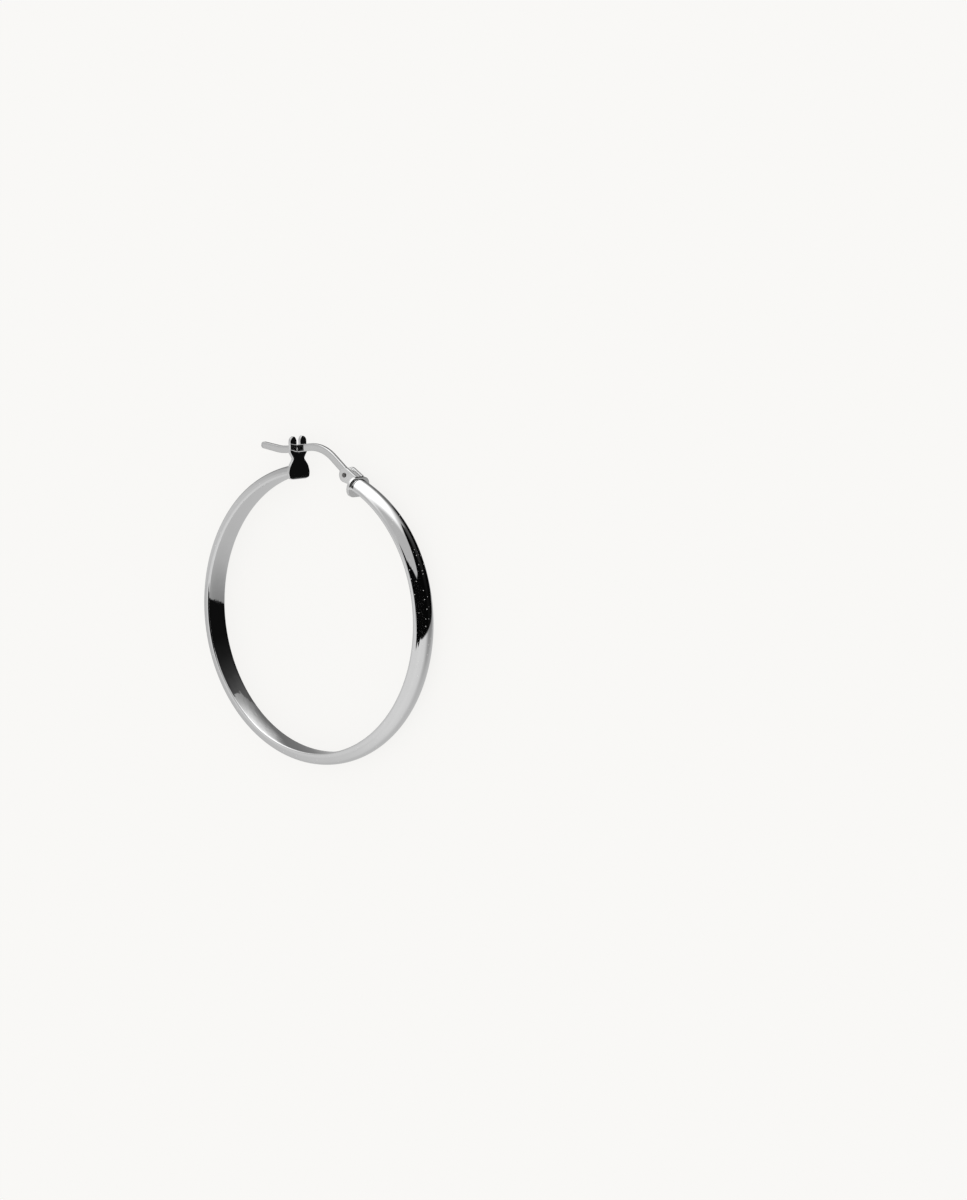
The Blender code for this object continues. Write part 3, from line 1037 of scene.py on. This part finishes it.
@dataclass(frozen=True)
class StudioSky:
    """What surrounds the earring: a pale dome, a bright panel and a dark panel.

    Places on it are given in degrees, as (azimuth, elevation) over the plane of the hoop.
    """

    azimuth_start: float = math.radians(10.5)
    silver_share: float = 0.93
    flag_left: tuple[Point2, ...] = (
        (-90, -15), (-46, -15), (0, -18), (40, -23), (55, -35), (64, -37), (70, -46), (76, -80),
        (80, -115), (84, -150), (90, -150))
    flag_right: tuple[Point2, ...] = (
        (-90, 178), (-68, 168), (-65, 146), (-62, 125), (-54, 86), (-46, 64), (-38, 62),
        (-33, 64), (-20, 56), (-13, 50), (-5, 36), (5, 23), (25, 20), (40, 27), (60, 38),
        (70, 55), (90, 100))
    panel_left: tuple[Point2, ...] = (
        (-90, 66), (-33, 67), (-20, 58), (-13, 52), (-3, 50), (8, 58), (20, 66), (34, 77), (47, 92),
        (57, 108), (90, 150))
    dome_tones: tuple[Point2, ...] = (
        # azimuth, tone: left of the dark panel
        (-180, 180), (-165, 182), (-150, 186), (-138, 189), (-124, 192), (-107, 200), (-85, 207),
        (0, 208))
    dome_shares: tuple[Point2, ...] = (
        # elevation, share of those tones' light
        (-90, 0.40), (-70, 0.56), (-60, 0.72), (-46, 0.74), (-28, 0.86), (-8, 0.95), (30, 1.0),
        (90, 1.0))
    upper_tone: float = 205.0
    upper_back_tone: float = 182.0
    dark_tones: tuple[Point2, ...] = (
        # azimuth, tone: low on the dark panel
        (-30, 13), (15, 14), (31, 27), (47, 47), (60, 72), (70, 84), (180, 84))
    low_dome_tones: tuple[Point2, ...] = (
        # azimuth, tone: low to the left of the dark panel
        (-180, 185), (-150, 183), (-100, 180), (-65, 176), (-49, 168), (-33, 149), (-17, 130))
    low_tones: tuple[Point2, ...] = (
        # azimuth, tone: below the bright panel
        (60, 118), (79, 118), (95, 106), (111, 104), (127, 108), (143, 113), (159, 124), (172, 150),
        (180, 172))
    high_tones: tuple[Point2, ...] = (
        # azimuth, tone: beyond the bright panel
        (100, 172), (120, 165), (145, 168), (158, 184), (168, 190), (180, 188))
    low_tops: tuple[Point2, ...] = (
        # azimuth, elevation: the upper border of those low tones
        (60, -39.5), (115, -39.5), (140, -24), (180, -24))
    flag_tone: float = 6.0
    wedge_tone: float = 174.0
    panel_light: float = 1.25

    # soft borders, in degrees of elevation or azimuth
    upper_edge: SoftEdge = (44.0, 24.0)
    upper_back_edge: SoftEdge = (44.0, 18.0)
    low_dome_edge: SoftEdge = (-27.0, 36.0)
    top_flag_edge: SoftEdge = (74.0, 4.0)
    top_flag_left: SoftEdge = (-152.0, 4.0)
    dark_top: SoftEdge = (-32.0, 12.0)
    dark_foot: SoftEdge = (-57.0, 10.0)
    wedge_edge: SoftEdge = (112.0, 36.0)
    panel_inset: SoftEdge = (9.0, 28.0)
    panel_right: SoftEdge = (122.0, 50.0)
    panel_top: SoftEdge = (62.0, 14.0)
    low_top_width: float = 26.0
    flag_left_width: float = 1.6
    flag_right_width: float = 2.5

    backdrop: Colour = (0.947, 0.939, 0.922)
    floor_share: float = 0.86

    def build(self, rest: Matrix) -> None:
        """Makes the world.

        Args:
            rest: what sets the hoop down.
        """
        world = bpy.data.worlds.new("studio_sky")
        bpy.context.scene.world = world
        world.use_nodes = True
        graph = NodeGraph(world.node_tree)
        light = self._reflected(graph, rest) / self.silver_share
        seen = graph.node(
            "VectorMath", {"operation": "SCALE"}, {0: (1.0, 1.0, 1.0), "Scale": light})
        path = graph.node("LightPath")
        soft = tuple(channel / self.floor_share for channel in self.backdrop)
        dome = graph.node("Background", None, {"Color": (*soft, 1.0)}).outputs[0]
        panels = graph.node("Background", None, {"Color": seen.outputs[0]}).outputs[0]
        behind = graph.node("Background", None, {"Color": (*self.backdrop, 1.0)}).outputs[0]
        lit = graph.node("MixShader", None, {0: path.outputs["Is Glossy Ray"], 1: dome, 2: panels})
        whole = graph.node(
            "MixShader", None, {0: path.outputs["Is Camera Ray"], 1: lit.outputs[0], 2: behind})
        graph.node("OutputWorld", None, {"Surface": whole.outputs[0]})

    def _reflected(self, graph: NodeGraph, rest: Matrix) -> Value:
        """The light that the silver mirrors, by its direction.

        Args:
            graph: the world's graph.
            rest: what sets the hoop down.

        Returns:
            The light.
        """
        turn = rest.to_3x3() @ Matrix.Rotation(self.azimuth_start, 3, "Z")
        direction = graph.node("TexCoord").outputs["Generated"]
        east, north, up = [self._along(graph, direction, turn @ Vector(axis))
                           for axis in ((1, 0, 0), (0, 1, 0), (0, 0, 1))]
        azimuth = north.math("ARCTAN2", east) * math.degrees(1.0)
        elevation = up.math("ARCSINE") * math.degrees(1.0)
        flag_left = elevation.curve(self.flag_left)
        flag_right = elevation.curve(self.flag_right)
        panel_left = elevation.curve(self.panel_left)
        flag = linear(self.flag_tone)
        dome = azimuth.curve(self._lit(self.dome_tones))
        dome = dome.towards(linear(self.upper_tone), elevation.step(*self.upper_edge))
        dome = dome * elevation.curve(self.dome_shares)
        low_dome = azimuth.curve(self._lit(self.low_dome_tones))
        dome = dome.towards(low_dome, 1.0 - elevation.step(*self.low_dome_edge))
        overhead = elevation.step(*self.top_flag_edge)
        dome = dome.towards(flag, overhead * (1.0 - azimuth.step(*self.top_flag_left)))
        dark = azimuth.curve(self._lit(self.dark_tones))
        dark = dark.towards(flag, elevation.step(*self.dark_top))
        dark = dark.towards(flag, 1.0 - elevation.step(*self.dark_foot))
        beyond = azimuth.curve(self._lit(self.high_tones))
        beyond = beyond.towards(
            linear(self.upper_back_tone), elevation.step(*self.upper_back_edge))
        high = beyond.towards(linear(self.wedge_tone), 1.0 - azimuth.step(*self.wedge_edge))
        panel_start, panel_width = self.panel_inset
        panel = azimuth.step(panel_left + panel_start, panel_width)
        panel = panel * (1.0 - azimuth.step(*self.panel_right))
        panel = panel * (1.0 - elevation.step(*self.panel_top))
        high = high.towards(self.panel_light, panel)
        low = azimuth.curve(self._lit(self.low_tones))
        low_top = azimuth.curve(self.low_tops)
        lit = low.towards(high, elevation.step(low_top, self.low_top_width))
        right = dark.towards(lit, azimuth.step(flag_right, self.flag_right_width))
        right = right.towards(flag, overhead)
        return dome.towards(right, azimuth.step(flag_left, self.flag_left_width))

    @staticmethod
    def _lit(tones: Sequence[Point2]) -> list[Point2]:
        """Turns a table of tones into one of light."""
        return [(place, linear(tone)) for place, tone in tones]

    @staticmethod
    def _along(graph: NodeGraph, direction: bpy.types.NodeSocket, axis: Vector) -> Value:
        """How far a direction goes along an axis."""
        made = graph.node(
            "VectorMath", {"operation": "DOT_PRODUCT"}, {0: direction, 1: tuple(axis)})
        return graph.value(made, "Value")


@dataclass(frozen=True)
class Floor:
    """A plain pale floor."""

    half_size: float = 3.0
    drop: float = 0.02 * MM
    glow: float = 0.90

    def build(self, sky: StudioSky) -> None:
        """Lays the floor.

        Args:
            sky: the sky that lights it.
        """
        mesh = bpy.data.meshes.new("floor")
        signs = ((-1, -1), (1, -1), (1, 1), (-1, 1))
        corners = [(x * self.half_size, y * self.half_size, -self.drop) for x, y in signs]
        mesh.from_pydata(corners, [], [(0, 1, 2, 3)])
        floor = bpy.data.objects.new("floor", mesh)
        bpy.context.scene.collection.objects.link(floor)
        floor.visible_glossy = False
        material = bpy.data.materials.new("pale_floor")
        material.use_nodes = True
        graph = NodeGraph(material.node_tree)
        shade = graph.node("BsdfDiffuse", None, {"Color": (sky.floor_share,) * 3 + (1.0,)})
        glow = graph.node("Emission", None, {"Color": (*sky.backdrop, 1.0), "Strength": 1.0})
        soft = graph.node(
            "MixShader", None, {0: self.glow, 1: shade.outputs[0], 2: glow.outputs[0]})
        graph.node("OutputMaterial", None, {"Surface": soft.outputs[0]})
        mesh.materials.append(material)


@dataclass(frozen=True)
class PhotoCamera:
    """The camera at the photograph's angle to the hoop, 46 degrees above the floor.

    Its axes are given over the plane of the hoop, in the sky's axes.
    """

    right: Triple = (0.72514187, -0.0581055, -0.68614358)
    up: Triple = (0.0, 0.99643347, -0.08438214)
    back: Triple = (0.68859949, 0.06118902, 0.72255563)
    distance: float = 1.020
    aim_right: float = 18.505 * MM
    aim_up: float = 1.47 * MM
    lens_mm: float = 274.1
    sensor_mm: float = 36.0
    nearest: float = 0.01
    farthest: float = 50.0

    def build(self, rest: Matrix, sky: StudioSky) -> None:
        """Makes the camera.

        Args:
            rest: what sets the hoop down.
            sky: the sky whose axes the camera's are given in.
        """
        turn = rest.to_3x3() @ Matrix.Rotation(sky.azimuth_start, 3, "Z")
        right, up, back = [turn @ Vector(axis) for axis in (self.right, self.up, self.back)]
        centre = rest.translation
        place = centre + back * self.distance
        aim = centre + right * self.aim_right + up * self.aim_up
        facing = (place - aim).normalized()
        across = up.cross(facing).normalized()
        matrix = Matrix((across, facing.cross(across), facing)).transposed().to_4x4()
        matrix.translation = place
        data = bpy.data.cameras.new("photo_camera")
        data.sensor_fit = "AUTO"
        data.sensor_width = self.sensor_mm
        data.lens = self.lens_mm
        data.clip_start = self.nearest
        data.clip_end = self.farthest
        camera = bpy.data.objects.new("photo_camera", data)
        bpy.context.scene.collection.objects.link(camera)
        camera.matrix_world = matrix
        bpy.context.scene.camera = camera


def finishes(middle_y: float) -> dict[Finish, bpy.types.Material]:
    """Makes the five silvers.

    Args:
        middle_y: the Y of the hoop's centre.

    Returns:
        A material for each finish.
    """
    silvers = {
        Finish.TUBE: SilverFinish(
            name="mirror_polished_silver", bright=(0.95, 0.95, 0.95), dull=(0.91, 0.91, 0.91),
            roughness=0.045, roughness_spread=0.03, wave_height=0.008 * MM,
            wave_length=1.3 * MM, scratch_depth=0.00015 * MM, hoop_middle_y=middle_y,
            ripple_share=0.8, dust=0.8, grain=Grain.ROUND_THE_HOOP),
        Finish.CATCH: SilverFinish(
            name="mirror_polished_plate", bright=(0.95, 0.95, 0.95), dull=(0.92, 0.92, 0.92),
            roughness=0.05, roughness_spread=0.02, wave_height=0.0015 * MM,
            wave_length=1.5 * MM, scratch_depth=0.00008 * MM, hoop_middle_y=middle_y),
        Finish.HINGE: SilverFinish(
            name="soldered_hinge_silver", bright=(0.97, 0.97, 0.965), dull=(0.90, 0.90, 0.895),
            roughness=0.24, roughness_spread=0.06, wave_height=0.003 * MM,
            wave_length=0.6 * MM, scratch_depth=0.0003 * MM, hoop_middle_y=middle_y),
        Finish.WIRE: SilverFinish(
            name="softly_polished_silver", bright=(0.84, 0.84, 0.835), dull=(0.80, 0.80, 0.795),
            roughness=0.10, roughness_spread=0.04, wave_height=0.002 * MM,
            wave_length=0.9 * MM, scratch_depth=0.00015 * MM, hoop_middle_y=middle_y),
        # The rivet's nearly black colour is painted shade, standing in for the dark end of the
        # rivet.
        Finish.RIVET: SilverFinish(
            name="painted_shade_rivet", bright=(0.30, 0.29, 0.285), dull=(0.07, 0.07, 0.068),
            roughness=0.30, roughness_spread=0.10, wave_height=0.003 * MM,
            wave_length=0.2 * MM, scratch_depth=0.0008 * MM, hoop_middle_y=middle_y,
            scratch_width=0.03 * MM)}
    return {finish: silver.material() for finish, silver in silvers.items()}


def main() -> None:
    """Builds the studio and the earring."""
    logging.basicConfig(level=logging.INFO, format="%(name)s: %(message)s")
    hoop = Hoop()
    rest = Rest(hoop.pivot()).matrix()
    sky = StudioSky()
    sky.build(rest)
    Floor().build(sky)
    PhotoCamera().build(rest, sky)
    silvers = finishes(rest.translation.y)
    hoop.build(rest, silvers)
    EarWire(hoop.wire_height).build(rest, hoop, silvers[Finish.WIRE])
    HingeRivet().build(rest, hoop, silvers[Finish.RIVET])
    bpy.context.scene.view_settings.view_transform = "Standard"


if __name__ == "__main__":
    main()
